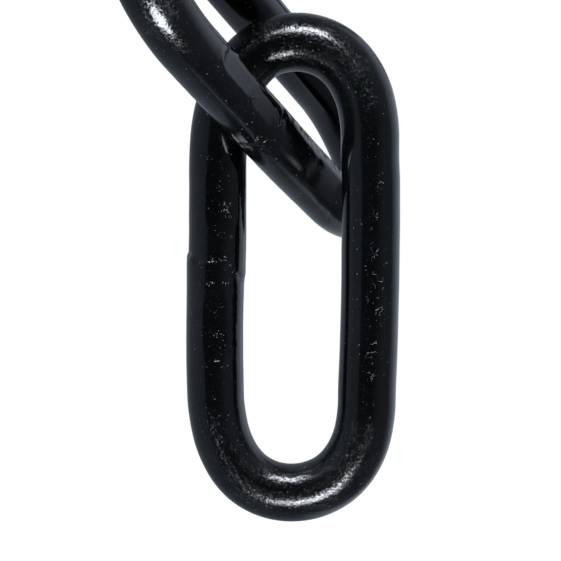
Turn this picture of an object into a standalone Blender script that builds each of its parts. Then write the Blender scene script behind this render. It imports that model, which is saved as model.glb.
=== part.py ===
"""A metre of welded long-link steel chain, lying on the floor.

Most of it lies in a loose coil. The end link and the one after it lie drawn out of the coil.
All lengths are in metres and all angles in degrees. The floor is z = 0, and the origin is on it,
under the middle of the chain's outline.
"""
import math

import bmesh
import bpy
from mathutils import Euler, Matrix, Vector

# Driving dimensions of one link: 6 mm bar, 42 mm inside length
BAR = 0.006
PITCH = 0.042
LINK_WIDTH = 0.0224
CROWN_REACH = 0.0102
LINK_COUNT = 24

# How finely the faces follow the bar
SIDES = 12
STEPS_PER_ARC = 2
ARC_TURN = 45.0

# The first three links: middle on the floor, heading, rise and roll
END_LINK = ((0.0, 0.0), 90.0, 4.7, -54.9)
SECOND_LINK = ((-0.00092, 0.02137), 151.1, 8.5, 22.9)
THIRD_LINK = ((-0.0232, 0.0527), 108.0, 0.0, -58.0)

# Where the second link's bar lies in the end link, from the second link's middle
SECOND_LINK_HOLD = 0.0042

# The coil: a spiral wound clockwise and inwards from the third link
COIL_STEP = 0.0392
COIL_RADIUS = 0.126
COIL_SPACING = 0.037
COIL_TURN_IN = 18.0
COIL_ROLL = 45.0

# Black gloss paint
PAINT_COLOUR = (0.008, 0.010, 0.012, 1.0)
PAINT_ROUGHNESS = 0.2
PAINT_METALLIC = 0.0

HALF_WIDTH = (LINK_WIDTH - BAR) / 2
HALF_LENGTH = (PITCH + BAR) / 2

# A crown has two radii: a wide one beside each limb and a tight one at its tip
RADIUS_CHANGE = (CROWN_REACH - HALF_WIDTH) / (math.sqrt(2.0) - 1.0)
TIP_RADIUS = CROWN_REACH - RADIUS_CHANGE * math.sqrt(0.5)
SHOULDER_RADIUS = TIP_RADIUS + RADIUS_CHANGE


def clear_scene():
    """Remove whatever the file opened with."""
    for thing in list(bpy.data.objects):
        bpy.data.objects.remove(thing, do_unlink=True)


def paint():
    """The chain's one finish, a black gloss paint."""
    material = bpy.data.materials.new("black_paint")
    material.use_nodes = True
    shader = material.node_tree.nodes["Principled BSDF"]
    shader.inputs["Base Color"].default_value = PAINT_COLOUR
    shader.inputs["Roughness"].default_value = PAINT_ROUGHNESS
    shader.inputs["Metallic"].default_value = PAINT_METALLIC
    return material


def arc(centre, radius, start):
    """Points of the bar's centre line and their outward directions on one arc of a crown."""
    stations = []
    for step in range(STEPS_PER_ARC + 1):
        turn = math.radians(start + ARC_TURN * step / STEPS_PER_ARC)
        outward = Vector((math.sin(turn), math.cos(turn), 0.0))
        stations.append((centre + radius * outward, outward))
    return stations


def crown():
    """The bar's centre line round the crown at +X, from the limb at +Y to the limb at -Y."""
    shoulder_x = HALF_LENGTH - CROWN_REACH
    shoulder_y = HALF_WIDTH - SHOULDER_RADIUS
    tip = Vector((HALF_LENGTH - TIP_RADIUS, 0.0, 0.0))
    stations = arc(Vector((shoulder_x, shoulder_y, 0.0)), SHOULDER_RADIUS, 0.0)
    stations += arc(tip, TIP_RADIUS, ARC_TURN)[1:]
    stations += arc(tip, TIP_RADIUS, 2 * ARC_TURN)[1:]
    stations += arc(Vector((shoulder_x, -shoulder_y, 0.0)), SHOULDER_RADIUS, 3 * ARC_TURN)[1:]
    return stations


def link_mesh(material):
    """One link: a round bar bent to a long ring, lengthwise on X and flat on the XY plane."""
    half_turn = Matrix.Rotation(math.pi, 3, "Z")
    stations = crown()
    stations += [(half_turn @ place, half_turn @ outward) for place, outward in crown()]
    shape = bmesh.new()
    rings = []
    for place, outward in stations:
        ring = []
        for side in range(SIDES):
            turn = 2 * math.pi * side / SIDES
            offset = math.cos(turn) * outward + math.sin(turn) * Vector((0.0, 0.0, 1.0))
            ring.append(shape.verts.new(place + offset * BAR / 2))
        rings.append(ring)
    for ring, following in zip(rings, rings[1:] + rings[:1]):
        for side in range(SIDES):
            beside = (side + 1) % SIDES
            shape.faces.new((ring[side], ring[beside], following[beside], following[side]))
    bmesh.ops.recalc_face_normals(shape, faces=shape.faces)
    mesh = bpy.data.meshes.new("link")
    shape.to_mesh(mesh)
    shape.free()
    mesh.materials.append(material)
    mesh.shade_smooth()
    return mesh


def coil_places():
    """Middle, heading, rise and roll of each link of the coil, in order."""
    (third_x, third_y), third_heading, _, _ = THIRD_LINK
    along = math.radians(third_heading)
    start_heading = math.radians(third_heading + COIL_TURN_IN)
    start = Vector((third_x, third_y)) + COIL_STEP / 2 * Vector((math.cos(along), math.sin(along)))
    centre = start + COIL_RADIUS * Vector((math.sin(start_heading), -math.cos(start_heading)))
    angle = start_heading + math.pi / 2
    radius = COIL_RADIUS
    joint = start
    places = []
    for number in range(LINK_COUNT - 3):
        turn = 2 * math.asin(COIL_STEP / (2 * radius))
        angle -= turn
        radius -= COIL_SPACING * turn / (2 * math.pi)
        following = centre + radius * Vector((math.cos(angle), math.sin(angle)))
        span = following - joint
        heading = math.degrees(math.atan2(span.y, span.x))
        roll = COIL_ROLL if number % 2 == 0 else -COIL_ROLL
        places.append((tuple((joint + following) / 2), heading, 0.0, roll))
        joint = following
    return places


def resting_pose(mesh, place):
    """World matrix of a link at this place, with its lowest edge on the floor."""
    (x, y), heading, rise, roll = place
    turned = Euler((math.radians(roll), -math.radians(rise), math.radians(heading))).to_matrix()
    height = -min((turned @ vertex.co).z for vertex in mesh.vertices)
    return Matrix.Translation((x, y, height)) @ turned.to_4x4()


def outline_middle(mesh, poses):
    """The point of the floor under the middle of the whole chain's outline."""
    corners = [pose @ vertex.co for pose in poses for vertex in mesh.vertices]
    middle = Vector((0.0, 0.0, 0.0))
    for axis in (0, 1):
        spread = [corner[axis] for corner in corners]
        middle[axis] = (min(spread) + max(spread)) / 2
    return middle


def swing_of(number, poses):
    """Point and direction of the bar that this link swings on, as a link joins the one before it."""
    own = poses[number]
    before = poses[number - 1]
    if number == 1:
        point = own @ Vector((-SECOND_LINK_HOLD, HALF_WIDTH, 0.0))
        axis = own.to_3x3() @ Vector((1.0, 0.0, 0.0))
    elif number < 4:
        point = own @ Vector((-HALF_LENGTH, 0.0, 0.0))
        axis = own.to_3x3() @ Vector((0.0, 1.0, 0.0))
    else:
        point = before @ Vector((HALF_LENGTH, 0.0, 0.0))
        axis = before.to_3x3() @ Vector((0.0, 1.0, 0.0))
    return point, axis.normalized()


def add_swing(number, poses, parent):
    """An empty whose Z axis is the line that a link swings on."""
    point, axis = swing_of(number, poses)
    swing = bpy.data.objects.new(f"swing_{number + 1:02d}", None)
    bpy.context.collection.objects.link(swing)
    swing.parent = parent
    swing.matrix_parent_inverse = poses[number - 1].inverted()
    swing.matrix_basis = Matrix.Translation(point) @ axis.to_track_quat("Z", "Y").to_matrix().to_4x4()
    return swing


def add_link(number, mesh, poses, before):
    """One link, hung on the swing that joins it to the link before."""
    link = bpy.data.objects.new(f"link_{number + 1:02d}", mesh)
    bpy.context.collection.objects.link(link)
    if before is not None:
        swing = add_swing(number, poses, before)
        link.parent = swing
        link.matrix_parent_inverse = swing.matrix_basis.inverted()
    link.matrix_basis = poses[number]
    return link


def build_chain():
    """Every link of the chain, from the end link to the coil's inner end."""
    mesh = link_mesh(paint())
    places = [END_LINK, SECOND_LINK, THIRD_LINK] + coil_places()
    poses = [resting_pose(mesh, place) for place in places]
    to_origin = Matrix.Translation(-outline_middle(mesh, poses))
    poses = [to_origin @ pose for pose in poses]
    before = None
    for number in range(LINK_COUNT):
        before = add_link(number, mesh, poses, before)
    bpy.context.view_layer.update()
    return poses


def main():
    clear_scene()
    return build_chain()


main()
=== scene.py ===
"""Looks of a metre of black painted long-link chain: its bars, welds, clamp marks and gloss paint.

Lengths are in metres and angles in degrees, unless a name says otherwise.
"""
import math

import bpy
import numpy as np
from mathutils import Matrix, Vector


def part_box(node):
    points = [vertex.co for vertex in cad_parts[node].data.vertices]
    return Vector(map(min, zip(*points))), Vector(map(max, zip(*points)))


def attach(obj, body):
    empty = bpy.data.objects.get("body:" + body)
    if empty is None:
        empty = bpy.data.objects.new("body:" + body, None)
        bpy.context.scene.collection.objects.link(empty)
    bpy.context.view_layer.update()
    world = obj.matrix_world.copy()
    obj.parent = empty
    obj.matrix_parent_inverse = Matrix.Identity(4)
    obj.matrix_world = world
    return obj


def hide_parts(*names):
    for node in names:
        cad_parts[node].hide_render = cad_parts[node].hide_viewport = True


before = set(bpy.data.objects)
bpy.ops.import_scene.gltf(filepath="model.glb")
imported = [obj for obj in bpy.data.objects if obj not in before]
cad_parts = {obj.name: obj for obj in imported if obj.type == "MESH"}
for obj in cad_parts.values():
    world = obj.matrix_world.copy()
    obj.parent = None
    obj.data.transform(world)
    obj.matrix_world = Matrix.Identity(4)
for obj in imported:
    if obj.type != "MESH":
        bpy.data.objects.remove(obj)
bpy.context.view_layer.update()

# One link: bar, the middle line's reach, and the two radii of each crown
BAR_RADIUS = 0.00306
HALF_WIDTH = 0.0082
HALF_LENGTH = 0.024
CROWN_REACH = 0.0102
RADIUS_CHANGE = (CROWN_REACH - HALF_WIDTH) / (math.sqrt(2.0) - 1.0)
TIP_RADIUS = CROWN_REACH - RADIUS_CHANGE * math.sqrt(0.5)
SHOULDER_RADIUS = TIP_RADIUS + RADIUS_CHANGE
LIMB = 2 * (HALF_LENGTH - CROWN_REACH)
EIGHTH = math.pi / 4
CROWN = 2 * EIGHTH * (SHOULDER_RADIUS + TIP_RADIUS)
ROUND = 2 * (LIMB + CROWN)

# Stations along the bar and round it, for the two drawn-out links and for the coil's
FINE_STATIONS = (704, 96)
COIL_STATIONS = (288, 36)

# Size and height of the long waves and the small lumps that rolling left in the bar
ROLLED_WAVES = (0.007, 2.5e-5)
ROLLED_LUMPS = (0.0016, 8e-6)

# Between these distances from the link's middle, the limbs' smooth paint turns into the crowns' grainy one
CROWN_PAINT_REACH = (0.0115, 0.0215)

# Step from one link's paint to the next one's, so that no two links carry the same grain
PAINT_STEP = np.array([0.11, 0.07, 0.05])

# Blank edge of the paint map, as a share of the map
MAP_EDGE = 0.004

# The random lumps' shuffling numbers, and the count of steps from the lowest lump to the highest
LUMP_SHUFFLE = np.array([73856093, 19349663, 83492791])
LUMP_STIR = 1274126177
LUMP_SEED_STEP = 2654435
LUMP_SEED_SHIFT = 17.31
LUMP_LEVELS = 65535

# How random marks break off: the lumps' level where a mark is gone, and the level where it is whole
CLAMP_END_BREAKS = (-0.3, 0.5)
CRUST_BREAKS = (-0.5, 0.2)
SEAM_BREAKS = (-0.6, 0.4)

# Marks are placed by the way along the bar, from the middle of the +Y limb towards +X, and by the
# degrees round the bar, from 0 on the link's outside over 90 on its upper side

# How far the bends left the bar outside its plain course: way along the bar, and how far it lies out.
# Each place counts over about the softness, and the plain course by its weight, where none is near
BOW_SOFTNESS = 0.0024
PLAIN_COURSE_WEIGHT = 1e-9
END_LINK_BOW = (
    (0.0, -0.00007), (0.003, -0.00011), (0.007, -0.00005), (0.012, 0.0), (0.0157, -0.0002),
    (0.019, -0.00008), (0.023, 0.0), (0.0285, -0.00012), (0.0315, -0.00003), (0.0345, 0.0002),
    (0.0375, 0.00005), (0.041, -0.00017), (0.044, -0.00015), (0.048, 0.00003), (0.052, 0.00008),
    (0.058, 0.0001), (0.063, 0.00008), (0.066, 0.00003), (0.069, -0.00007), (0.072, -0.00005),
    (0.0753, 0.00023), (0.0783, 0.00034), (0.0815, 0.0), (0.0848, -0.00009), (0.088, 0.00004),
    (0.091, 0.00025), (0.094, -0.00003), (0.0973, -0.00031), (0.1004, -0.00018), (0.104, -0.00008),
    (0.108, -0.00005))
SECOND_LINK_BOW = (
    (-0.018, 0.0), (-0.014, 0.0001), (-0.010, 0.00022), (-0.006, 0.0003), (-0.003, 0.00032),
    (0.0, 0.00028), (0.003, 0.00022), (0.006, 0.00016), (0.0095, 0.0001), (0.013, 0.00002),
    (0.016, -0.00005), (0.019, 0.0), (0.024, 0.0))

# Welds: place, step outwards, step upwards, and how far behind the seam both steps fade out
END_LINK_WELD = (0.00075, 0.00014, 0.00014, 0.024)
SECOND_LINK_WELD = (0.00145, 0.00010, 0.00006, 0.012)
COIL_WELD_FADE = 0.016

# How softly a weld's step sets in on the link's outside, and how much more softly on its inside
WELD_SOFTNESS = 2.0e-4
WELD_SOFTNESS_INSIDE = 5.0e-4

# A weld's seam: its fine wander, the swollen ring behind it, and the groove in it with its lumps
WELD_WANDER = 1.2e-4
WELD_SWELL_WAY = 0.0012
WELD_SWELL_WIDTH = 0.0022
WELD_SWELL_HEIGHT = 4e-5
WELD_GROOVE_WIDTH = 1.6e-4
WELD_GROOVE_DEPTH = 3.5e-5
WELD_GROOVE_LUMPS = 4.5e-5
WELD_GROOVE_LEAST = 0.3
# The groove's brightness paints a glint along the seam
WELD_GROOVE_BRIGHT = 0.5

# Weld seams: degrees round the bar, and how far along it the seam wanders there
END_LINK_SEAM = (
    (0, 0.0008), (37, 0.0004), (61, -0.0004), (82, 0.0), (120, 0.0), (138, -0.0008), (164, -0.002),
    (220, -0.0016), (300, 0.0), (360, 0.0008))
SECOND_LINK_SEAM = (
    (0, 0.0003), (26, 0.0002), (60, -0.0001), (84, -0.0005), (140, 0.0), (332, 0.0009), (360, 0.0003))

# Clamp marks: place, degrees, half length, half turn, flatness, raggedness of the rim
END_LINK_CLAMPS = (
    (0.0074, 112, 0.0041, 33, 0.5, 1.0),
    (-0.0060, 103, 0.0043, 24, 0.6, 1.0),
    (0.0072, 283, 0.0038, 22, 1.0, 1.0),
    (-0.0060, 281, 0.0038, 22, 1.0, 1.0))
SECOND_LINK_CLAMPS = (
    (0.0092, 73, 0.0036, 24, 0.8, 1.0),
    (0.0042, 60, 0.0026, 20, 0.7, 1.0),
    (-0.0088, 50, 0.0046, 28, 0.8, 0.3),
    (0.0090, 262, 0.0034, 22, 1.0, 1.0),
    (-0.0060, 260, 0.0034, 22, 1.0, 1.0))

# Along its half length a flat runs out between these shares, and its ends wander by this share
CLAMP_RUN_OUT = (0.45, 1.08)
CLAMP_WANDER = 0.05

# Degrees from a flat's middle beyond which the bar stays round, and beyond which there is no rim. The
# least cosine keeps the flat's level within bounds farther round the bar
CLAMP_SIDE = 70
CLAMP_RIM_SIDE = 60
LEAST_COSINE = 0.2

# The ridge of paint on a flat's rim: where it sets in towards the flat's ends and sides, and where it
# ends, in half lengths; how deep in the flat it lies, its width, its height and its lumps
CLAMP_RIM_START = (0.75, 1.0)
CLAMP_RIM_END = 1.12
CLAMP_RIM_DEPTH = 1.5e-5
CLAMP_RIM_WIDTH = 2.5e-5
CLAMP_RIM_HEIGHT = 1.2e-5
CLAMP_RIM_LUMPS = 2.2e-5

# The painted glint across each end of a flat, a pale band standing in for the light its edge catches:
# its width in half lengths, how far round the bar it goes in half turns, and its brightness
CLAMP_END_WIDTH = 0.07
CLAMP_END_SIDE = 1.1
CLAMP_END_BRIGHT = 0.6

# Crusts of scale and spatter, their pale colour partly a painted glint: place, degrees, length, width,
# height, brightness. The focus says how closely a crust keeps to its middle
CRUST_FOCUS = 1.5
END_LINK_CRUSTS = (
    (0.0062, 120, 0.0013, 0.0009, 4e-5, 0.9),
    (0.0054, 127, 0.0005, 0.0005, 4e-5, 1.0),
    (0.0054, 96, 0.0002, 0.0002, 4e-5, 1.6),
    (0.0112, 98, 0.00022, 0.0006, 5e-5, 1.5),
    (0.0100, 122, 0.0006, 0.0003, 4e-5, 0.7),
    (0.0080, 106, 0.0026, 0.0008, 1e-5, 0.45),
    (0.0009, 92, 0.0003, 0.0007, 4e-5, 0.8),
    (0.0010, 112, 0.0003, 0.0007, 4e-5, 0.9),
    (-0.0034, 108, 0.0010, 0.0008, 3e-5, 0.8),
    (-0.0066, 110, 0.0030, 0.0011, 1e-5, 0.6),
    (-0.0084, 116, 0.0006, 0.0007, 2e-5, 0.7),
    (-0.0098, 104, 0.0002, 0.0006, 5e-5, 1.6),
    (-0.0016, 166, 0.0010, 0.0006, 8e-5, 0.8))
SECOND_LINK_CRUSTS = (
    (0.0024, 7, 0.0003, 0.0007, 1.2e-4, 1.0),
    (0.0014, 6, 0.0003, 0.0008, 1.2e-4, 1.0),
    (0.0018, 330, 0.0003, 0.0003, 3e-5, 0.8),
    (0.0008, 86, 0.0003, 0.0008, 5e-5, 0.6))

# The strip of flash beside the second link's weld, its pale crusts partly a painted reflection of the
# light its rough edge catches: start, end and step of the places of its crusts, and each crust's degrees,
# length, width, height and brightness
SECOND_LINK_FLASH_RUN = (0.0, -0.0120, -0.0011)
SECOND_LINK_FLASH_CRUST = (96, 0.0011, 0.0005, 1.0e-4, 1.5)

# Hair-thin raised marks, painted pale as highlight lines: course as places and degrees, width, height,
# brightness
END_LINK_THIN_MARKS = (
    (((0.0007, 84), (0.0007, 100), (0.0009, 119), (-0.0003, 139), (-0.0014, 167)), 1.3e-4, 1e-5, 0.9),
    (((0.0003, 122), (-0.0009, 143), (-0.0018, 166)), 1.1e-4, 1e-5, 0.8),
    (((0.0042, 90), (0.0038, 97), (0.00365, 106), (0.00375, 118), (0.0040, 126)), 1.1e-4, 1.5e-5, 0.8))

# Nicks: place, degrees, length, width and depth, which is negative for a raised burr. Their depth
# varies by a share
NICK_VARIATION = 0.25
END_LINK_NICKS = (
    (0.0012, 28, 0.0004, 0.0006, 1.6e-4),
    (-0.0008, 158, 0.0005, 0.0004, 1.0e-4))
SECOND_LINK_NICKS = (
    (0.0014, 62, 0.0003, 0.0014, 1.0e-4),
    (0.0019, 332, 0.0003, 0.0004, -4e-5))

# Dull paint: place, degrees, length, width, amount, and how far the patch twists round the bar. Its
# edge wanders by a share, and the dullness fades out between two shares of its size
DULL_WANDER = 0.12
DULL_FADE = (0.7, 1.1)
SECOND_LINK_DULL_PATCHES = (
    (0.0068, 66, 0.0056, 0.0010, 0.5, 11.0),
    (-0.0035, 34, 0.0046, 0.0018, 0.35, 0.0))

# Stuck fibres: place, degrees, length, width, amount
END_LINK_LINT = (
    (0.0565, 76, 0.0120, 0.0016, 0.62),
    (0.0535, 84, 0.0020, 0.0011, 0.8),
    (0.0556, 76, 0.0018, 0.0012, 0.8),
    (-0.0548, 77, 0.0026, 0.0010, 0.75),
    (-0.0480, 77, 0.0026, 0.0012, 0.8),
    (-0.0459, 79, 0.0014, 0.0008, 0.85))
SECOND_LINK_LINT = ((-0.0085, 62, 0.0016, 0.0012, 0.5),)

# The bending tool's line across a crown: place, width, wander, brightness, and its depth on the end
# link and on the coil's links
CROWN_LINE_PLACE = 0.02845
CROWN_LINE_WIDTH = 9e-5
CROWN_LINE_WANDER = 3e-5
CROWN_LINE_BRIGHT = 0.35
END_CROWN_LINE_DEPTH = 3.0e-5
COIL_CROWN_LINE_DEPTH = 1.2e-5

# Degrees round the bar of the two sides that the coil's clamps pressed
UPPER_AND_LOWER_SIDE = (90, 270)

# The coil's links differ by chance within these bounds. Each link's number is added to the seed. The
# crusts and the lint have only their sizes and strengths here
COIL_SEED = 400
COIL_WELD_WANDER = 0.0012
COIL_WELD_STEP = (0.0001, 0.00026)
COIL_CLAMP_WAY = (0.0062, 0.0070)
COIL_CLAMP_LEAN = 14
COIL_CLAMP_HALF_LENGTH = (0.0034, 0.0040)
COIL_CLAMP_HALF_TURN = (19, 25)
COIL_CRUST_COUNT = 4
COIL_CRUST_WAY = 0.009
COIL_CRUST = (0.0008, 0.0008, 5e-5, 0.8)
COIL_LINT = (0.003, 0.002, 0.8)

# Linear colours of the paint, of its thin places, of the fine bloom on it, of dust and fibres, and of
# bare crust, which also paints the glints of the marks, and the paint's index of refraction
PAINT_COLOUR = (0.0007, 0.0009, 0.0010, 1.0)
PAINT_COLOUR_THIN = (0.0011, 0.0015, 0.0017, 1.0)
BLOOM_COLOUR = (0.013, 0.017, 0.015, 1.0)
DUST_COLOUR = (0.07, 0.075, 0.08, 1.0)
CRUST_AND_GLINT_COLOUR = (0.22, 0.22, 0.22, 1.0)
PAINT_IOR = 1.5

# Roughness and grain of the paint on a limb and on a crown, and what its marks add to them
LIMB_TO_CROWN_ROUGHNESS = (0.10, 0.085)
LIMB_TO_CROWN_GRAIN = (0.08, 1.0)
SCUFF_ROUGHNESS = 0.12
DULL_ROUGHNESS = 0.22
DUST_ROUGHNESS = 0.4
DULL_GRAIN = 0.5

# Depth of the paint's relief, and the heights of crust and dust as shares of it
RELIEF_DEPTH = 3.2e-5
CRUST_HEIGHT = 1.3
DUST_HEIGHT = 0.25

# Patterns in the paint. A scale is a count of cells in a metre
GRAIN_SCALE = 7800.0
DUST_PATTERN = {"Scale": 2300.0, "Size": 0.14}
BLOOM_PATTERN = {"Scale": 6500.0, "Share": 0.45, "Size": 0.26}
FIBRE_PATTERN = {"Scale": 1150.0, "Thinness": 0.005}
CRUST_SCALE = 6000.0
CLOUD_SCALE = 260.0
CLOUD_DETAIL = 3.0
CLOUD_EDGES = (0.4, 0.65)

# Shares of leaning cells and soft lumps in the grain, and the grit's scale as a share of the grain's,
# its edges and its height
LEAN_SHARE = 0.42
SOFT_SHARE = 0.38
GRIT_SCALE = 0.87
GRIT_EDGES = (0.62, 0.80)
GRIT_HEIGHT = 0.3

# What every dust speck has at least, as a share of the pattern's size and of full brightness
SMALLEST_SPECK = 0.3
FAINTEST_SPECK = 0.3

# Fibres follow the middle level of a noise with this detail and roughness. They come in pieces, whose
# scale is a share of the noise's
FIBRE_NOISE = (1.5, 0.6)
FIBRE_LEVEL = 0.5
FIBRE_PIECE_SCALE = 0.8

# The crust's noise detail and roughness, how far a full amount spreads it, and its bare edges
CRUST_NOISE = (1.0, 0.6)
CRUST_SPREAD = 0.24
CRUST_EDGES = (0.77, 0.83)

# The camera, from the end link's middle
CAMERA_FROM_LINK = Vector((-0.10295, -0.00402, 0.09479))
CAMERA_LOOK = Vector((0.729, 0.020, -0.684))
CAMERA_RIGHT = Vector((0.685, -0.046, 0.728))
FOCAL_IN_PIXELS = 1317.9
PICTURE_IN_PIXELS = 561
SENSOR_MM = 36.0
NEAREST_SEEN = 0.005

WHITE = (1.0, 1.0, 1.0, 1.0)

# The floor: white to the camera, and this dim in the paint's reflections. Its glow is stronger close to
# the end link, and strongest towards +X; each change runs from the first distance to the second
FLOOR_HEIGHT = -0.00012
FLOOR_REACH = 4.0
FLOOR_CORNERS = 96
FLOOR_COLOUR = (0.02, 0.02, 0.02, 1.0)
FLOOR_ROUGHNESS = 0.9
FLOOR_GLOW = (0.20, 0.235, 0.285, 1.0)
FLOOR_GLOW_NEAR = (0.31, 0.36, 0.43, 1.0)
FLOOR_GLOW_AHEAD = (0.64, 0.73, 0.84, 1.0)
NEAR_REACH = (0.008, 0.034)
AHEAD_REACH = (0.008, 0.034)

# Strip lights: name, link that it lights, lean from the camera, turn aside, reach, length and breadth
STRIP_LIGHTS = (
    ("far", 0, 54.0, -13.0, 0.0845, 0.058, 0.020),
    ("near", 0, -45.7, -2.5, 0.093, 0.042, 0.018),
    ("second", 1, -45.0, -3.0, 0.095, 0.050, 0.036))
STRIP_GLARE = 34.0

# What the second link's strip light faces, from the end link's middle
SECOND_LINK_BEND = (-0.0217, 0.0231, 0.0054)

# The coil's two large lights: reach, length and breadth
SOFT_BOX = (1.6, 2.2, 0.6)
SOFT_BOX_GLARE = 12.0
LIGHT_TINT = (0.92, 0.98, 1.06)

# The studio in the paint's reflections: its colour, and how bright it is on the dark -X side
STUDIO_COLOUR = (0.86, 0.96, 1.16, 1.0)
STUDIO_DIM = 0.035

# What the studio gains in brightness towards +X: first and last X direction, and gain
STUDIO_GAINS = ((-0.55, -0.25, 0.075), (-0.25, 0.05, 0.08))

# What is left of those gains on the -Y side: last and first Y direction of that side, and share
MINUS_Y_SIDE = (-0.95, -0.35, 0.35)

# The white backdrop: its direction, how squarely a way faces it where its glow begins and where it is
# full, and the full glow
BACKDROP_WAY = (0.95, 0.30, 0.0)
BACKDROP_GLOW = (0.58, 0.86, 0.65)

# The foot of the backdrop's sweep: the height up to which it glows fully, the height where that ends,
# and the full glow
SWEEP_FOOT = (0.02, 0.12, 0.17)


def bar_line(along):
    """Middle line of the bar and its outward direction, this far round from the +Y limb's middle."""
    along = np.mod(along, ROUND)
    half = np.where(along >= ROUND / 2, -1.0, 1.0)
    rest = np.mod(along, ROUND / 2)
    leaving = rest - LIMB / 2
    first = leaving - EIGHTH * SHOULDER_RADIUS
    second = first - 2 * EIGHTH * TIP_RADIUS
    back = second - EIGHTH * SHOULDER_RADIUS
    stretches = [leaving < 0, first < 0, second < 0, back < 0]
    turn = np.select(stretches, [
        0 * rest,
        leaving / SHOULDER_RADIUS,
        EIGHTH + first / TIP_RADIUS,
        3 * EIGHTH + second / SHOULDER_RADIUS], math.pi)
    near, shoulder_x = HALF_WIDTH - SHOULDER_RADIUS, HALF_LENGTH - CROWN_REACH
    x = np.select(stretches, [
        rest,
        shoulder_x + SHOULDER_RADIUS * np.sin(turn),
        HALF_LENGTH - TIP_RADIUS + TIP_RADIUS * np.sin(turn),
        shoulder_x + SHOULDER_RADIUS * np.sin(turn)], shoulder_x - back)
    y = np.select(stretches, [
        HALF_WIDTH + 0 * rest,
        near + SHOULDER_RADIUS * np.cos(turn),
        TIP_RADIUS * np.cos(turn),
        -near + SHOULDER_RADIUS * np.cos(turn)], -HALF_WIDTH)
    middle = np.stack([half * x, half * y, 0 * x], -1)
    outward = np.stack([half * np.sin(turn), half * np.cos(turn), 0 * x], -1)
    return middle, outward


def smooth(value, low, high):
    """0 below low, 1 above high, and a soft S between."""
    share = np.clip((value - low) / (high - low), 0.0, 1.0)
    return share * share * (3 - 2 * share)


def turn_between(angle, centre):
    """Signed degrees from centre to angle, the short way."""
    return np.mod(angle - centre + 180.0, 360.0) - 180.0


def way_between(along, place):
    """Signed way along the bar from place, the short way round the link."""
    return np.mod(along - place + ROUND / 2, ROUND) - ROUND / 2


def lumps(points, size, seed):
    """Soft random lumps of about this size, from -1 to 1, fixed in space."""
    scaled = points / size + seed * LUMP_SEED_SHIFT
    cell = np.floor(scaled).astype(np.int64)
    share = scaled - cell
    share = share * share * (3 - 2 * share)
    total = np.zeros(len(points))
    for corner in range(8):
        step = np.array([corner & 1, corner >> 1 & 1, corner >> 2 & 1])
        mixed = (cell + step) @ LUMP_SHUFFLE + seed * LUMP_SEED_STEP
        mixed = (mixed ^ (mixed >> 13)) * LUMP_STIR
        value = ((mixed ^ (mixed >> 16)) & LUMP_LEVELS) / (LUMP_LEVELS / 2) - 1.0
        weight = np.where(step == 1, share, 1 - share).prod(axis=1)
        total += weight * value
    return total


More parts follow.
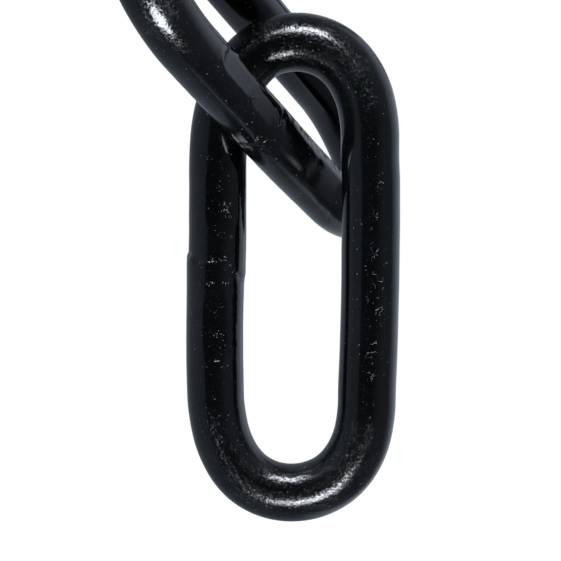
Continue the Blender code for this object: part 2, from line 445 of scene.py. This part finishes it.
class Surface:
    """The skin of one link's bar: where each point lies, how relief moves it, and what marks the paint."""

    def __init__(self, stations, seed):
        count, sides = stations
        along, angle = np.meshgrid(
            np.arange(count) / count * ROUND, np.arange(sides) / sides * 360.0, indexing="ij")
        self.stations = stations
        self.seed = seed
        self.along = along.ravel()
        self.angle = angle.ravel()
        self.middle, self.outward = bar_line(self.along)
        turn = np.radians(self.angle)[:, None]
        self.away = np.cos(turn) * self.outward + np.sin(turn) * np.array([0.0, 0.0, 1.0])
        self.round_skin = self.middle + BAR_RADIUS * self.away
        # Relief: off the bar's own middle line, away from the link's middle, and up
        self.lift = np.zeros(len(self.along))
        self.shift = np.zeros(len(self.along))
        self.rise = np.zeros(len(self.along))
        # What the paint reads
        # Pale marks: real scuffs and crust, and painted glints where clamp ends, seams and thin marks catch
        # the light
        self.scuff_and_glint = np.zeros(len(self.along))
        self.lint = np.zeros(len(self.along))
        self.dull = np.zeros(len(self.along))
        self.bend = smooth(np.abs(self.middle[:, 0]), *CROWN_PAINT_REACH)

    def lump(self, size, number):
        """Random lumps of this size over the skin. Each use has a number of its own."""
        return lumps(self.round_skin, size, self.seed * 7 + number)

    def offset(self, place, face, length, width, twist=0.0):
        """Way along and across the skin from a spot, in the spot's own lengths and widths."""
        way = way_between(self.along, place) / length
        across = np.radians(turn_between(self.angle, face + twist * way)) * BAR_RADIUS / width
        return way, across

    def roll(self):
        """The bar's own slight unevenness from rolling and bending."""
        wave_size, wave_height = ROLLED_WAVES
        lump_size, lump_height = ROLLED_LUMPS
        self.lift += wave_height * self.lump(wave_size, 1) + lump_height * self.lump(lump_size, 2)

    def bow(self, course):
        """Where bending left the bar aside of its plain course."""
        places = np.array([place for place, _ in course])
        way = way_between(self.along[:, None], places[None, :])
        nearness = np.exp(-(way / BOW_SOFTNESS) ** 2)
        aside = nearness @ np.array([aside for _, aside in course])
        self.shift += aside / (nearness.sum(axis=1) + PLAIN_COURSE_WEIGHT)

    def clamp_mark(self, place, face, half_length, half_turn, flatness=1.0, ragged=1.0):
        """Where a welding clamp pressed the bar flatter, with a ragged rim and painted glints on its ends.
        """
        way = np.abs(way_between(self.along, place) / half_length + CLAMP_WANDER * self.lump(0.0012, 3))
        turn = np.abs(turn_between(self.angle, face))
        depth = (1 - math.cos(math.radians(half_turn))) * BAR_RADIUS
        sink = depth * (1 - smooth(way, *CLAMP_RUN_OUT))
        height = (BAR_RADIUS - sink) / np.maximum(np.cos(np.radians(turn)), LEAST_COSINE) - BAR_RADIUS
        cut = np.where(turn < CLAMP_SIDE, np.minimum(height, 0.0), 0.0) * flatness
        rim = np.exp(-((cut + CLAMP_RIM_DEPTH) / CLAMP_RIM_WIDTH) ** 2)
        rim *= (way < CLAMP_RIM_END) * (turn < CLAMP_RIM_SIDE)
        rim *= smooth(turn / half_turn + way, *CLAMP_RIM_START)
        self.lift += cut + ragged * rim * (CLAMP_RIM_HEIGHT + CLAMP_RIM_LUMPS * self.lump(0.0004, 4))
        # A painted glint: a pale band across each end of the flat
        end = np.exp(-((way - 1.0) / CLAMP_END_WIDTH) ** 2) * (turn < CLAMP_END_SIDE * half_turn)
        broken = smooth(self.lump(0.0006, 5), *CLAMP_END_BREAKS)
        self.scuff_and_glint = np.maximum(self.scuff_and_glint, ragged * CLAMP_END_BRIGHT * end * broken)

    def crust(self, place, face, length, width, height, bright):
        """A small area of crusted scale or weld spatter under the paint, its pale colour partly a painted
        glint.
        """
        way, across = self.offset(place, face, length, width)
        here = np.exp(-(way ** 2 + across ** 2) * CRUST_FOCUS)
        here *= smooth(self.lump(0.0007, 6), *CRUST_BREAKS)
        self.lift += here * height * self.lump(0.00035, 7)
        self.scuff_and_glint = np.maximum(self.scuff_and_glint, bright * here)

    def weld(self, seam, place, step, rise, fade):
        """A butt weld: the bar behind the seam sits aside and higher, and the seam is a fine groove,
        painted pale as a glint where it is not broken.
        """
        wander = np.interp(np.mod(self.angle, 360.0), [a for a, _ in seam], [w for _, w in seam])
        way = way_between(self.along, place) - wander + WELD_WANDER * self.lump(0.0009, 8)
        inside = smooth(-np.cos(np.radians(self.angle)), -0.6, 0.9)
        softness = WELD_SOFTNESS + WELD_SOFTNESS_INSIDE * inside
        behind = (1 - smooth(way / softness, -1.0, 1.0)) * (1 - smooth(-way, fade * 0.5, fade))
        self.shift += step * behind
        self.rise += rise * behind
        swell = np.exp(-((way + WELD_SWELL_WAY) / WELD_SWELL_WIDTH) ** 2)
        groove = np.exp(-(way / WELD_GROOVE_WIDTH) ** 2)
        broken = smooth(self.lump(0.0008, 9), *SEAM_BREAKS)
        deep = WELD_GROOVE_LEAST + (1 - WELD_GROOVE_LEAST) * broken
        self.lift += WELD_SWELL_HEIGHT * swell - WELD_GROOVE_DEPTH * groove * deep
        self.lift += groove * WELD_GROOVE_LUMPS * self.lump(0.0003, 10)
        # Painted glint along the unbroken parts of the groove
        self.scuff_and_glint = np.maximum(self.scuff_and_glint, WELD_GROOVE_BRIGHT * groove * broken)

    def thin_mark(self, course, width, height, bright):
        """A hair-thin raised mark through these places, painted pale as a highlight line."""
        across = np.radians(self.angle) * BAR_RADIUS
        nearest = np.full(len(self.along), 1.0)
        for (start, face), (stop, last) in zip(course, course[1:]):
            first = np.array([start, math.radians(face) * BAR_RADIUS])
            step = np.array([stop, math.radians(last) * BAR_RADIUS]) - first
            apart = np.stack([way_between(self.along, start), across - first[1]], -1)
            share = np.clip(apart @ step / (step @ step), 0.0, 1.0)
            nearest = np.minimum(nearest, np.linalg.norm(apart - share[:, None] * step, axis=1))
        line = np.exp(-(nearest / width) ** 2)
        self.lift += height * line
        # The pale line is a painted highlight
        self.scuff_and_glint = np.maximum(self.scuff_and_glint, bright * line)

    def dull_patch(self, place, face, length, width, amount, twist):
        """Where the paint dried rough and lost some of its gloss."""
        way, across = self.offset(place, face, length, width, twist)
        far = np.maximum(np.abs(way), np.abs(across)) + DULL_WANDER * self.lump(0.0009, 13)
        self.dull = np.maximum(self.dull, amount * (1 - smooth(far, *DULL_FADE)))

    def nick(self, place, face, length, width, depth):
        """A small dent, or a raised burr if the depth is negative."""
        way, across = self.offset(place, face, length, width)
        here = np.exp(-(way ** 2 + across ** 2))
        self.lift -= depth * here * (1 - NICK_VARIATION + NICK_VARIATION * self.lump(0.0003, 11))

    def crown_line(self, depth):
        """The fine line that the bending tool's joint leaves across a crown."""
        way = way_between(self.along, CROWN_LINE_PLACE) + CROWN_LINE_WANDER * self.lump(0.002, 12)
        line = np.exp(-(way / CROWN_LINE_WIDTH) ** 2)
        self.lift -= depth * line
        self.scuff_and_glint = np.maximum(self.scuff_and_glint, CROWN_LINE_BRIGHT * line)

    def lint_patch(self, place, face, length, width, amount):
        """Where dry fibres stuck in the wet paint."""
        way, across = self.offset(place, face, length, width)
        self.lint = np.maximum(self.lint, amount * np.exp(-(way ** 2 + across ** 2)))

    def mesh(self, name, number):
        """The finished skin as a mesh, in the link's own axes."""
        count, sides = self.stations
        reach = BAR_RADIUS + self.lift
        skin = self.middle + self.shift[:, None] * self.outward + reach[:, None] * self.away
        skin[:, 2] += self.rise
        row, column = np.meshgrid(np.arange(count), np.arange(sides), indexing="ij")
        next_row, next_column = (row + 1) % count, (column + 1) % sides
        corners = np.stack([
            row * sides + column, next_row * sides + column,
            next_row * sides + next_column, row * sides + next_column], -1).reshape(-1, 4)
        made = bpy.data.meshes.new(name)
        made.from_pydata(skin.tolist(), [], corners.tolist())
        self.unroll(made, row, column)
        for label, values in (
                ("bend", self.bend), ("scuff_and_glint", self.scuff_and_glint), ("lint", self.lint), ("dull", self.dull)):
            layer = made.attributes.new(label, "FLOAT", "POINT")
            layer.data.foreach_set("value", values.astype(np.float32))
        place = self.round_skin + PAINT_STEP * number
        layer = made.attributes.new("paint_place", "FLOAT_VECTOR", "POINT")
        layer.data.foreach_set("vector", place.astype(np.float32).ravel())
        made.shade_smooth()
        return made

    def unroll(self, made, row, column):
        """A map of the skin in two long strips, one for each half of the link."""
        count, sides = self.stations
        upper = row >= count // 2
        spread = 1 - 2 * MAP_EDGE
        spots = []
        for ahead, over in ((0, 0), (1, 0), (1, 1), (0, 1)):
            u = (row - np.where(upper, count // 2, 0) + ahead) / (count // 2)
            v = ((column + over) / sides + np.where(upper, 1, 0)) / 2
            spots.append(np.stack([MAP_EDGE + spread * u, MAP_EDGE + spread * v], -1))
        layer = made.uv_layers.new(name="OFBake")
        layer.uv.foreach_set("vector", np.stack(spots, 2).astype(np.float32).ravel())


def drawn_out_skin(seed, bow, seam, weld, clamps, nicks, crusts, lint_patches):
    """A finely divided skin with the marks that both drawn-out links have, each link its own."""
    skin = Surface(FINE_STATIONS, seed)
    skin.roll()
    skin.bow(bow)
    skin.weld(seam, *weld)
    for clamp in clamps:
        skin.clamp_mark(*clamp)
    for nick in nicks:
        skin.nick(*nick)
    for crust in crusts:
        skin.crust(*crust)
    for lint_patch in lint_patches:
        skin.lint_patch(*lint_patch)
    return skin


def end_link_skin():
    """The end link, with the weld on its +Y limb."""
    skin = drawn_out_skin(
        1, END_LINK_BOW, END_LINK_SEAM, END_LINK_WELD, END_LINK_CLAMPS, END_LINK_NICKS, END_LINK_CRUSTS,
        END_LINK_LINT)
    for thin_mark in END_LINK_THIN_MARKS:
        skin.thin_mark(*thin_mark)
    skin.crown_line(END_CROWN_LINE_DEPTH)
    return skin


def second_link_skin():
    """The second link, with the weld on its +Y limb as well, and flash along its inner edge."""
    skin = drawn_out_skin(
        2, SECOND_LINK_BOW, SECOND_LINK_SEAM, SECOND_LINK_WELD, SECOND_LINK_CLAMPS, SECOND_LINK_NICKS,
        SECOND_LINK_CRUSTS, SECOND_LINK_LINT)
    for dull_patch in SECOND_LINK_DULL_PATCHES:
        skin.dull_patch(*dull_patch)
    for place in np.arange(*SECOND_LINK_FLASH_RUN):
        skin.crust(place, *SECOND_LINK_FLASH_CRUST)
    return skin


def coil_link_skin(number):
    """One of the coil's links: the same link, welded and clamped a little differently each time."""
    chance = np.random.default_rng(COIL_SEED + number)
    skin = Surface(COIL_STATIONS, number)
    skin.roll()
    weld_on_minus_y_limb = number % 3 == 0
    limb = ROUND / 2 if weld_on_minus_y_limb else 0.0
    place = limb + chance.uniform(-COIL_WELD_WANDER, COIL_WELD_WANDER)
    wander = chance.uniform(-COIL_WELD_WANDER, COIL_WELD_WANDER, 4)
    seam = list(zip((0, 90, 180, 270, 360), (*wander, wander[0])))
    skin.weld(seam, place, chance.uniform(*COIL_WELD_STEP), 0.0, COIL_WELD_FADE)
    for side in (1, -1):
        for face in UPPER_AND_LOWER_SIDE:
            skin.clamp_mark(
                place + side * chance.uniform(*COIL_CLAMP_WAY),
                face + chance.uniform(-COIL_CLAMP_LEAN, COIL_CLAMP_LEAN),
                chance.uniform(*COIL_CLAMP_HALF_LENGTH), chance.uniform(*COIL_CLAMP_HALF_TURN))
    for _ in range(COIL_CRUST_COUNT):
        skin.crust(
            place + chance.uniform(-COIL_CRUST_WAY, COIL_CRUST_WAY), chance.uniform(0, 360), *COIL_CRUST)
    skin.crown_line(COIL_CROWN_LINE_DEPTH)
    skin.lint_patch(chance.uniform(0, ROUND), chance.uniform(0, 360), *COIL_LINT)
    return skin


def lie_of(node, towards):
    """Where a link lies: its middle, X along it towards the given side, and Z upwards."""
    corners = np.unique(np.round([tuple(v.co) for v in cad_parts[node].data.vertices], 7), axis=0)
    low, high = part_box(node)
    middle = (low + high) / 2
    apart = corners - np.array(middle)
    _, turned = np.linalg.eigh(apart.T @ apart)
    length = Vector(turned[:, 2])
    normal = Vector(turned[:, 0])
    if length.dot(towards) < 0:
        length = -length
    if normal.z < 0:
        normal = -normal
    width = normal.cross(length)
    lie = Matrix((length, width, normal)).transposed().to_4x4()
    lie.translation = middle
    return lie


def feed(tree, socket, value):
    """Link another node's socket into this one, or set its value."""
    if isinstance(value, bpy.types.NodeSocket):
        tree.links.new(value, socket)
    else:
        socket.default_value = value


def maths(tree, operation, first, second=None, clamp=False):
    """A Math node on one or two values or sockets."""
    node = tree.nodes.new("ShaderNodeMath")
    node.operation = operation
    node.use_clamp = clamp
    feed(tree, node.inputs[0], first)
    if second is not None:
        feed(tree, node.inputs[1], second)
    return node.outputs[0]


def plus(tree, first, second, clamp=False):
    """The sum of two values or sockets."""
    return maths(tree, "ADD", first, second, clamp)


def times(tree, first, second):
    """The product of two values or sockets."""
    return maths(tree, "MULTIPLY", first, second)


def vector_maths(tree, operation, first, second):
    """A Vector Math node on two vectors or sockets."""
    node = tree.nodes.new("ShaderNodeVectorMath")
    node.operation = operation
    feed(tree, node.inputs[0], first)
    feed(tree, node.inputs[1], second)
    return node.outputs["Value" if operation in ("DOT_PRODUCT", "DISTANCE") else "Vector"]


def ramp(tree, value, low, high, bottom=0.0, top=1.0):
    """A Map Range node from low..high to bottom..top."""
    node = tree.nodes.new("ShaderNodeMapRange")
    for label, given in (
            ("Value", value), ("From Min", low), ("From Max", high), ("To Min", bottom), ("To Max", top)):
        feed(tree, node.inputs[label], given)
    return node.outputs["Result"]


def noise(tree, place, scale, detail, roughness=0.5):
    """A Noise Texture read at this place."""
    node = tree.nodes.new("ShaderNodeTexNoise")
    for label, given in (("Vector", place), ("Scale", scale), ("Detail", detail), ("Roughness", roughness)):
        feed(tree, node.inputs[label], given)
    return node.outputs["Fac"]


def blend_colours(tree, share, first, second):
    """A colour mix by a share."""
    node = tree.nodes.new("ShaderNodeMix")
    node.data_type = "RGBA"
    feed(tree, node.inputs["Factor"], share)
    for label, value in (("A", first), ("B", second)):
        socket = next(s for s in node.inputs if s.name == label and s.type == "RGBA")
        feed(tree, socket, value)
    return next(s for s in node.outputs if s.type == "RGBA")


def attribute(tree, label, output="Fac"):
    """A value that the link's skin carries."""
    node = tree.nodes.new("ShaderNodeAttribute")
    node.attribute_name = label
    return node.outputs[output]


def new_group(name, values, masks):
    """An empty node group that takes a place and these values and puts out these masks or heights."""
    group = bpy.data.node_groups.new(name, "ShaderNodeTree")
    group.interface.new_socket("Place", in_out="INPUT", socket_type="NodeSocketVector")
    for label in values:
        group.interface.new_socket(label, in_out="INPUT", socket_type="NodeSocketFloat")
    for label in masks:
        group.interface.new_socket(label, in_out="OUTPUT", socket_type="NodeSocketFloat")
    given = group.nodes.new("NodeGroupInput").outputs
    put = group.nodes.new("NodeGroupOutput").inputs
    return group, given, put


def scattered_cells(group, given):
    """The cells of a Voronoi Texture at the group's place and scale."""
    cells = group.nodes.new("ShaderNodeTexVoronoi")
    feed(group, cells.inputs["Vector"], given["Place"])
    feed(group, cells.inputs["Scale"], given["Scale"])
    return cells.outputs


def grain_group():
    """Fine grain of sprayed paint: each small cell leans its own way, over soft lumps and grit."""
    group, given, put = new_group("Paint grain", ("Scale", "Strength"), ("Height",))
    place, scale = given["Place"], given["Scale"]
    cells = scattered_cells(group, given)
    lean = vector_maths(group, "SUBTRACT", cells["Color"], (0.5, 0.5, 0.5))
    apart = vector_maths(group, "SUBTRACT", place, cells["Position"])
    leaning = times(group, vector_maths(group, "DOT_PRODUCT", lean, apart), scale)
    soft = noise(group, place, scale, detail=0.0)
    fine = plus(group, times(group, leaning, LEAN_SHARE), times(group, soft, SOFT_SHARE))
    grit = noise(group, place, times(group, scale, GRIT_SCALE), detail=0.0)
    height = plus(group, fine, ramp(group, grit, *GRIT_EDGES, 0.0, GRIT_HEIGHT))
    feed(group, put["Height"], times(group, height, given["Strength"]))
    return group


def dust_group():
    """Scattered specks of pale dust."""
    group, given, put = new_group("Dust specks", ("Scale", "Share", "Size"), ("Mask",))
    cells = scattered_cells(group, given)
    pick = group.nodes.new("ShaderNodeSeparateColor")
    feed(group, pick.inputs["Color"], cells["Color"])
    chosen = maths(group, "LESS_THAN", pick.outputs["Red"], given["Share"])
    size = times(group, given["Size"], plus(group, pick.outputs["Green"], SMALLEST_SPECK))
    spot = maths(group, "LESS_THAN", cells["Distance"], size)
    bright = plus(group, times(group, pick.outputs["Blue"], 1 - FAINTEST_SPECK), FAINTEST_SPECK)
    feed(group, put["Mask"], times(group, times(group, chosen, spot), bright))
    return group


def fibre_group():
    """Short curled fibres: thin level lines of a noise, broken into pieces."""
    group, given, put = new_group("Stuck fibres", ("Scale", "Thinness", "Amount"), ("Mask",))
    place, scale = given["Place"], given["Scale"]
    level = noise(group, place, scale, *FIBRE_NOISE)
    near = maths(group, "ABSOLUTE", maths(group, "SUBTRACT", level, FIBRE_LEVEL))
    line = maths(group, "LESS_THAN", near, given["Thinness"])
    pieces = noise(group, place, times(group, scale, FIBRE_PIECE_SCALE), detail=0.0)
    kept = maths(group, "GREATER_THAN", plus(group, pieces, given["Amount"]), 1.0)
    feed(group, put["Mask"], times(group, line, kept))
    return group


def crust_group():
    """Tiny bright-edged crumbs of scale and spatter, whose pale mask also paints glints."""
    group, given, put = new_group("Weld crust and glints", ("Scale", "Amount"), ("Height", "Mask"))
    crumbs = noise(group, given["Place"], given["Scale"], *CRUST_NOISE)
    feed(group, put["Height"], times(group, crumbs, given["Amount"]))
    raised = plus(group, crumbs, times(group, given["Amount"], CRUST_SPREAD))
    feed(group, put["Mask"], ramp(group, raised, *CRUST_EDGES))
    return group


GRAIN = grain_group()
DUST = dust_group()
FIBRES = fibre_group()
CRUST_AND_GLINTS = crust_group()


def place_group(tree, group, values):
    """This material's own copy of an effect, with its own values."""
    node = tree.nodes.new("ShaderNodeGroup")
    node.node_tree = group
    for label, value in values.items():
        feed(tree, node.inputs[label], value)
    return node.outputs


def black_gloss_paint(name, dust_share, lint_amount):
    """Black gloss paint, sprayed thin over steel: fine grain on the crowns, dust, fibres, weld crust and
    painted glints.
    """
    material = bpy.data.materials.new(name)
    material.use_nodes = True
    tree = material.node_tree
    shader = tree.nodes["Principled BSDF"]
    shader.inputs["IOR"].default_value = PAINT_IOR
    shader.inputs["Metallic"].default_value = 0.0
    place = attribute(tree, "paint_place", "Vector")
    bend, scuff_and_glint, lint, dull = [attribute(tree, label) for label in ("bend", "scuff_and_glint", "lint", "dull")]

    graininess = plus(
        tree, ramp(tree, bend, 0.0, 1.0, *LIMB_TO_CROWN_GRAIN), times(tree, dull, DULL_GRAIN))
    grain = place_group(tree, GRAIN, {"Place": place, "Scale": GRAIN_SCALE, "Strength": graininess})
    dust = place_group(tree, DUST, {"Place": place, "Share": dust_share, **DUST_PATTERN})
    bloom = place_group(tree, DUST, {"Place": place, **BLOOM_PATTERN})
    fibres = place_group(tree, FIBRES, {
        "Place": place, "Amount": times(tree, lint, lint_amount), **FIBRE_PATTERN})
    crust = place_group(tree, CRUST_AND_GLINTS, {"Place": place, "Scale": CRUST_SCALE, "Amount": scuff_and_glint})
    cloud = noise(tree, place, CLOUD_SCALE, CLOUD_DETAIL)
    pale = maths(tree, "MAXIMUM", dust["Mask"], fibres["Mask"])

    colour = blend_colours(tree, ramp(tree, cloud, *CLOUD_EDGES), PAINT_COLOUR, PAINT_COLOUR_THIN)
    colour = blend_colours(tree, bloom["Mask"], colour, BLOOM_COLOUR)
    # Pale crust colour: real crust, and painted glints on clamp ends, the weld seam, thin marks and the
    # flash
    colour = blend_colours(tree, crust["Mask"], colour, CRUST_AND_GLINT_COLOUR)
    colour = blend_colours(tree, pale, colour, DUST_COLOUR)
    feed(tree, shader.inputs["Base Color"], colour)

    rough = plus(
        tree, ramp(tree, bend, 0.0, 1.0, *LIMB_TO_CROWN_ROUGHNESS), times(tree, scuff_and_glint, SCUFF_ROUGHNESS))
    rough = plus(tree, rough, times(tree, dull, DULL_ROUGHNESS))
    rough = plus(tree, rough, times(tree, pale, DUST_ROUGHNESS), clamp=True)
    feed(tree, shader.inputs["Roughness"], rough)

    height = plus(tree, grain["Height"], times(tree, crust["Height"], CRUST_HEIGHT))
    height = plus(tree, height, times(tree, pale, DUST_HEIGHT))
    bump = tree.nodes.new("ShaderNodeBump")
    bump.inputs["Distance"].default_value = RELIEF_DEPTH
    feed(tree, bump.inputs["Height"], height)
    feed(tree, shader.inputs["Normal"], bump.outputs["Normal"])
    return material


END_PAINT = black_gloss_paint("black_paint_drawn_out", dust_share=0.30, lint_amount=0.8)
COIL_PAINT = black_gloss_paint("black_paint_coil", dust_share=0.14, lint_amount=0.62)


def build_links():
    """Every link's fine skin, on its own body, in place of the plain solid."""
    links = []
    names = sorted(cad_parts)
    middles = [sum(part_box(name), Vector()) / 2 for name in names]
    for number, name in enumerate(names):
        ahead = middles[min(number + 1, len(names) - 1)]
        behind = middles[max(number - 1, 0)]
        lie = lie_of(name, ahead - behind)
        if number == 0:
            skin = end_link_skin()
        elif number == 1:
            skin = second_link_skin()
        else:
            skin = coil_link_skin(number + 1)
        mesh = skin.mesh(name + "_skin", number)
        mesh.transform(lie)
        mesh.materials.append(END_PAINT if number < 2 else COIL_PAINT)
        link = bpy.data.objects.new(name + "_skin", mesh)
        bpy.context.scene.collection.objects.link(link)
        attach(link, name)
        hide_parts(name)
        links.append(link)
    return links


def end_link_middle():
    """The middle of the end link, which the camera, the floor's glow and the lights are placed from."""
    low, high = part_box("link_01")
    return (low + high) / 2


def camera_axes():
    """The camera's right, up and back directions, square to each other."""
    back = -CAMERA_LOOK.normalized()
    right = (CAMERA_RIGHT - CAMERA_RIGHT.dot(back) * back).normalized()
    return right, back.cross(right), back


def set_camera():
    """The camera, looking down on the two drawn-out links."""
    data = bpy.data.cameras.new("camera")
    data.sensor_width = SENSOR_MM
    data.lens = SENSOR_MM * FOCAL_IN_PIXELS / PICTURE_IN_PIXELS
    data.clip_start = NEAREST_SEEN
    camera = bpy.data.objects.new("camera", data)
    bpy.context.scene.collection.objects.link(camera)
    lie = Matrix(camera_axes()).transposed().to_4x4()
    lie.translation = end_link_middle() + CAMERA_FROM_LINK
    camera.matrix_world = lie
    bpy.context.scene.camera = camera


def lay_floor():
    """A floor that is plain white to the camera and dimmer in the paint's reflections."""
    bpy.ops.mesh.primitive_circle_add(vertices=FLOOR_CORNERS, radius=FLOOR_REACH, fill_type="NGON")
    floor = bpy.context.object
    floor.name = "floor"
    floor.location.z = FLOOR_HEIGHT
    material = bpy.data.materials.new("white_floor")
    material.use_nodes = True
    tree = material.node_tree
    shader = tree.nodes["Principled BSDF"]
    shader.inputs["Base Color"].default_value = FLOOR_COLOUR
    shader.inputs["Roughness"].default_value = FLOOR_ROUGHNESS
    shader.inputs["Specular IOR Level"].default_value = 0.0
    middle = end_link_middle()
    place = tree.nodes.new("ShaderNodeTexCoord").outputs["Object"]
    apart = vector_maths(tree, "SUBTRACT", place, (middle.x, middle.y, 0.0))
    far_off = ramp(tree, vector_maths(tree, "DISTANCE", apart, (0.0, 0.0, 0.0)), *NEAR_REACH)
    ahead = vector_maths(tree, "DOT_PRODUCT", apart, (1.0, 0.0, 0.0))
    glow = blend_colours(tree, far_off, FLOOR_GLOW_NEAR, FLOOR_GLOW)
    glow = blend_colours(tree, ramp(tree, ahead, *AHEAD_REACH), glow, FLOOR_GLOW_AHEAD)
    seen = tree.nodes.new("ShaderNodeLightPath").outputs["Is Camera Ray"]
    feed(tree, shader.inputs["Emission Color"], blend_colours(tree, seen, glow, WHITE))
    shader.inputs["Emission Strength"].default_value = 1.0
    floor.data.materials.append(material)


def soft_box(name, middle, direction, long_side, reach, length, breadth, glare):
    """A soft light that faces this point from this direction, its long side turned as given."""
    out = direction.normalized()
    side = (long_side - long_side.dot(out) * out).normalized()
    data = bpy.data.lights.new(name, "AREA")
    data.shape = "RECTANGLE"
    data.size = length
    data.size_y = breadth
    data.energy = glare * math.pi * length * breadth
    data.color = LIGHT_TINT
    lamp = bpy.data.objects.new(name, data)
    bpy.context.scene.collection.objects.link(lamp)
    lie = Matrix((side, out.cross(side), out)).transposed().to_4x4()
    lie.translation = middle + reach * out
    lamp.matrix_world = lie
    lamp.visible_camera = False
    return lamp


def light_only(lamp, pieces, name):
    """This lamp lights only these pieces."""
    lit = bpy.data.collections.new(name)
    for piece in pieces:
        lit.objects.link(piece)
    lamp.light_linking.receiver_collection = lit


def set_lights(links):
    """Strip lights close to the two drawn-out links, and two large ones far off for the coil."""
    right, up, back = camera_axes()
    end_middle = end_link_middle()
    spots = (end_middle, end_middle + Vector(SECOND_LINK_BEND))
    for name, lit, lean, aside, reach, length, breadth in STRIP_LIGHTS:
        turn, swing = math.radians(lean), math.radians(aside)
        way = math.cos(swing) * (math.sin(turn) * up + math.cos(turn) * back) + math.sin(swing) * right
        strip = soft_box("strip_" + name, spots[lit], way, right, reach, length, breadth, STRIP_GLARE)
        light_only(strip, [links[lit]], "lit_by_strip_" + name)
        if lit == 0:
            large = soft_box("soft_box_" + name, end_middle, way, right, *SOFT_BOX, SOFT_BOX_GLARE)
            light_only(large, links[2:], "lit_by_soft_box_" + name)


def set_world():
    """The studio round the chain: white to the camera, and dim on the -X side of the reflections."""
    world = bpy.data.worlds.new("studio")
    bpy.context.scene.world = world
    world.use_nodes = True
    tree = world.node_tree
    tree.nodes.clear()
    way = tree.nodes.new("ShaderNodeTexCoord").outputs["Generated"]
    split = tree.nodes.new("ShaderNodeSeparateXYZ")
    feed(tree, split.inputs[0], way)
    low, high, left = MINUS_Y_SIDE
    share = ramp(tree, split.outputs["Y"], low, high, left, 1.0)
    light = STUDIO_DIM
    for low, high, more in STUDIO_GAINS:
        gain = ramp(tree, split.outputs["X"], low, high, 0.0, more)
        light = plus(tree, light, times(tree, gain, share))
    low, high, more = BACKDROP_GLOW
    facing = vector_maths(tree, "DOT_PRODUCT", way, BACKDROP_WAY)
    light = plus(tree, light, ramp(tree, facing, low, high, 0.0, more))
    low, high, foot = SWEEP_FOOT
    light = plus(tree, light, ramp(tree, split.outputs["Z"], low, high, foot, 0.0))
    seen = tree.nodes.new("ShaderNodeLightPath").outputs["Is Camera Ray"]
    background = tree.nodes.new("ShaderNodeBackground")
    feed(tree, background.inputs["Color"], blend_colours(tree, seen, STUDIO_COLOUR, WHITE))
    feed(tree, background.inputs["Strength"], maths(tree, "MAXIMUM", light, seen))
    out = tree.nodes.new("ShaderNodeOutputWorld")
    feed(tree, out.inputs["Surface"], background.outputs[0])


set_camera()
links = build_links()
lay_floor()
set_lights(links)
set_world()
bpy.context.scene.view_settings.view_transform = "Standard"
